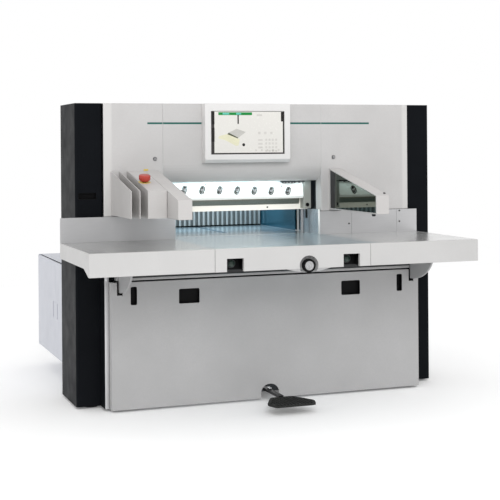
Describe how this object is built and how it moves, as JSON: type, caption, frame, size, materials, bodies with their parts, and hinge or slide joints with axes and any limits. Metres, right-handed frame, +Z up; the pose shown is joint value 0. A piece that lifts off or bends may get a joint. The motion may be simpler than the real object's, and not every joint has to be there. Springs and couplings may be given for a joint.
{
  "type": "guillotine paper cutter",
  "caption": "Floor-standing guillotine paper cutter with a long front table, hydraulic clamp, diagonal knife bar, back gauge, light-curtain arms, touch screen, foot pedal and rear cabinet.",
  "frame": {"origin": "middle of the bounding box, at floor level", "axes": "+X to the operator's right along the table, +Y from the operator towards the back gauge, +Z up"},
  "size_m": [2.231, 2.213, 1.65],
  "materials": {
    "dark_paint": "satin",
    "panel_grey": "satin",
    "fascia_white": "satin",
    "cover_grey": "satin",
    "cabinet_grey": "satin",
    "frame_grey": "semi-matt",
    "machine_blue": "satin",
    "polished_table": "ground and polished",
    "stainless": "brushed",
    "knife_white": "gloss",
    "knife_steel": "ground",
    "steel": "turned",
    "dark_steel": "blackened",
    "gauge_alu": "machined",
    "bronze": "machined",
    "black_plastic": "matt",
    "arm_white": "satin",
    "dark_glass": "polished",
    "screen_glass": "polished",
    "estop_red": "moulded",
    "stick_grey": "matt",
    "button_green": "moulded",
    "belt_rubber": "matt",
    "foot_rubber": "matt",
    "light_lens": "diffusing"
  },
  "bodies": {
    "machine": {"base_plinths": "frame_grey", "levelling_feet": "foot_rubber", "side_frames": "frame_grey", "top_crossbeam": "frame_grey", "table_bed": "polished_table", "cutting_stick": "stick_grey", "front_tables": "polished_table", "side_fascias": "fascia_white", "centre_fascia": "fascia_white", "rear_table": "polished_table", "rear_table_frame": "frame_grey", "guards": "stainless", "side_gauge": "stainless", "column_covers": "dark_paint", "side_upper_panels": "panel_grey", "centre_upper_panel": "panel_grey", "top_and_rear_covers": "panel_grey", "display_housing": "panel_grey", "display_screen": "screen_glass", "light_arms": "arm_white", "arm_panes": "dark_glass", "rack_fins": "arm_white", "estop_box": "arm_white", "lower_front_cover": "cover_grey", "grip_cups": "black_plastic", "cover_posts": "dark_paint", "table_supports": "cover_grey", "cut_button_housings": "black_plastic", "handwheel_housing": "cover_grey", "clamp_cylinder": "machine_blue", "spindle_bearings": "frame_grey", "spindle_motor": "black_plastic", "electrical_cabinet": "cabinet_grey", "cable_gland": "black_plastic", "main_motor": "machine_blue", "drive_belt": "belt_rubber", "gearbox": "machine_blue", "hydraulic_unit": "machine_blue", "work_light": "light_lens"},
    "knife": {"knife_bar": "knife_white", "knife": "knife_steel", "knife_bolts": "dark_steel"},
    "clamp": {"clamp_beam": "gauge_alu", "clamp_pull_frame": "steel"},
    "gauge": {"back_gauge": "gauge_alu", "gauge_nut": "bronze"},
    "spindle": {"spindle": "steel"},
    "handwheel": {"handwheel": "black_plastic"},
    "left_button": {"left_cut_button": "button_green"},
    "right_button": {"right_cut_button": "button_green"},
    "estop_stem": {"estop_stem": "black_plastic"},
    "estop_head": {"estop_head": "estop_red"},
    "pedal": {"pedal_arm": "dark_steel", "pedal_plate": "black_plastic"},
    "front_door": {"front_cabinet_door": "cabinet_grey"},
    "rear_door": {"rear_cabinet_door": "cabinet_grey"},
    "left_lock": {"left_panel_lock": "steel"},
    "right_lock": {"right_panel_lock": "steel"},
    "flywheel": {"flywheel": "frame_grey"},
    "motor_rotor": {"motor_pulley": "steel"}
  },
  "joints": [
    {"name": "knife_stroke", "type": "slide", "parent": "machine", "child": "knife", "axis": [-0.3746, 0, -0.9272], "range_m": [0, 0.1849]},
    {"name": "clamp_press", "type": "slide", "parent": "machine", "child": "clamp", "axis": [0, 0, -1], "range_m": [0, 0.1395]},
    {"name": "gauge_travel", "type": "slide", "parent": "machine", "child": "gauge", "axis": [0, -1, 0], "range_m": [0, 0.66]},
    {"name": "spindle_turn", "type": "hinge", "parent": "machine", "child": "spindle", "pos_m": [-0.0555, 0.4215, 0.8], "axis": [0, 1, 0], "continuous": true},
    {"name": "handwheel_turn", "type": "hinge", "parent": "machine", "child": "handwheel", "pos_m": [0.0285, -1.0785, 0.798], "axis": [0, 1, 0], "continuous": true},
    {"name": "left_button_press", "type": "slide", "parent": "machine", "child": "left_button", "axis": [0, 1, 0], "range_m": [0, 0.005], "stiffness_N_per_m": 900, "springref_m": -0.002},
    {"name": "right_button_press", "type": "slide", "parent": "machine", "child": "right_button", "axis": [0, 1, 0], "range_m": [0, 0.005], "stiffness_N_per_m": 900, "springref_m": -0.002},
    {"name": "estop_press", "type": "slide", "parent": "machine", "child": "estop_stem", "axis": [0, 0.2149, -0.9766], "range_m": [0, 0.006]},
    {"name": "estop_twist", "type": "hinge", "parent": "estop_stem", "child": "estop_head", "pos_m": [-0.7155, -0.6485, 1.226], "axis": [0, -0.2149, 0.9766], "range_deg": [0, 45], "stiffness_Nm_per_rad": 0.2},
    {"name": "pedal_press", "type": "hinge", "parent": "machine", "child": "pedal", "pos_m": [0.0145, -0.3865, 0.058], "axis": [1, 0, 0], "range_deg": [0, 4], "stiffness_Nm_per_rad": 60, "springref_deg": -22.92},
    {"name": "front_door_swing", "type": "hinge", "parent": "machine", "child": "front_door", "pos_m": [-0.951, 0.0565, 0.42], "axis": [0, 0, 1], "range_deg": [0, 90]},
    {"name": "rear_door_swing", "type": "hinge", "parent": "machine", "child": "rear_door", "pos_m": [-0.951, 1.0965, 0.42], "axis": [0, 0, -1], "range_deg": [0, 110]},
    {"name": "left_lock_turn", "type": "hinge", "parent": "machine", "child": "left_lock", "pos_m": [-0.5865, -0.4015, 1.345], "axis": [0, 1, 0], "range_deg": [0, 90]},
    {"name": "right_lock_turn", "type": "hinge", "parent": "machine", "child": "right_lock", "pos_m": [0.4855, -0.4015, 1.345], "axis": [0, 1, 0], "range_deg": [0, 90]},
    {"name": "flywheel_spin", "type": "hinge", "parent": "machine", "child": "flywheel", "pos_m": [0.8245, -0.1735, 0.43], "axis": [1, 0, 0], "continuous": true},
    {"name": "motor_spin", "type": "hinge", "parent": "machine", "child": "motor_rotor", "pos_m": [0.8245, -0.1785, 0.7], "axis": [1, 0, 0], "continuous": true}
  ],
  "couplings": [
    {"joint": "spindle_turn", "follows": "gauge_travel", "rad_per_m": 314.16},
    {"joint": "motor_spin", "follows": "flywheel_spin", "ratio": 3.5556}
  ]
}
